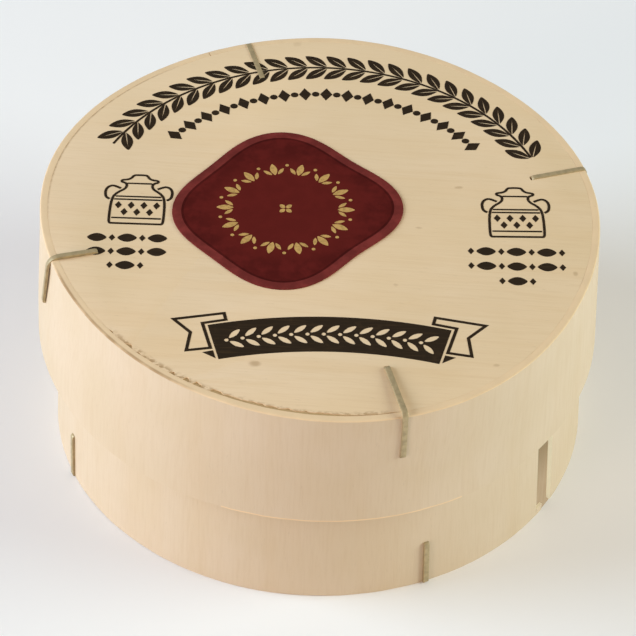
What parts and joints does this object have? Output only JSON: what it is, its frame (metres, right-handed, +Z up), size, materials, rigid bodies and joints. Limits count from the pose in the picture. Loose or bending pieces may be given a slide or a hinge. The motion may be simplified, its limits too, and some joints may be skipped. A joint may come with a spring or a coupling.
{
  "type": "wooden cheese box",
  "caption": "Shut round box of thin poplar veneer for a small soft cheese, with a stapled lid pushed down over its base and a red seal on top.",
  "frame": {"origin": "on the box's axis, on the surface that the box stands on", "axes": "+Z up along the box's axis; -Y points out of the side that the lid's print faces, with +X to its right"},
  "size_m": [0.0896, 0.0896, 0.0417],
  "materials": {
    "lid_veneer": "raw poplar veneer, matte, printed in dark ink",
    "band_veneer": "raw bent poplar veneer, matte",
    "base_veneer": "raw bent poplar veneer, matte",
    "inside": "shadowed inner face, matte",
    "staple_wire": "flat galvanised wire, dull",
    "seal_paper": "coated paper, dark red with a paler rim and gold ornament"
  },
  "bodies": {
    "root": {"lid_board": "lid_veneer", "lid_band": "band_veneer", "base_board": "base_veneer", "base_band": "base_veneer", "inside_core": "inside", "seal_label": "seal_paper", "lid_staple_front": "staple_wire", "lid_staple_right": "staple_wire", "lid_staple_back": "staple_wire", "lid_staple_left": "staple_wire", "base_staple_front": "staple_wire", "base_staple_right": "staple_wire", "base_staple_back": "staple_wire", "base_staple_left": "staple_wire"}
  },
  "joints": []
}
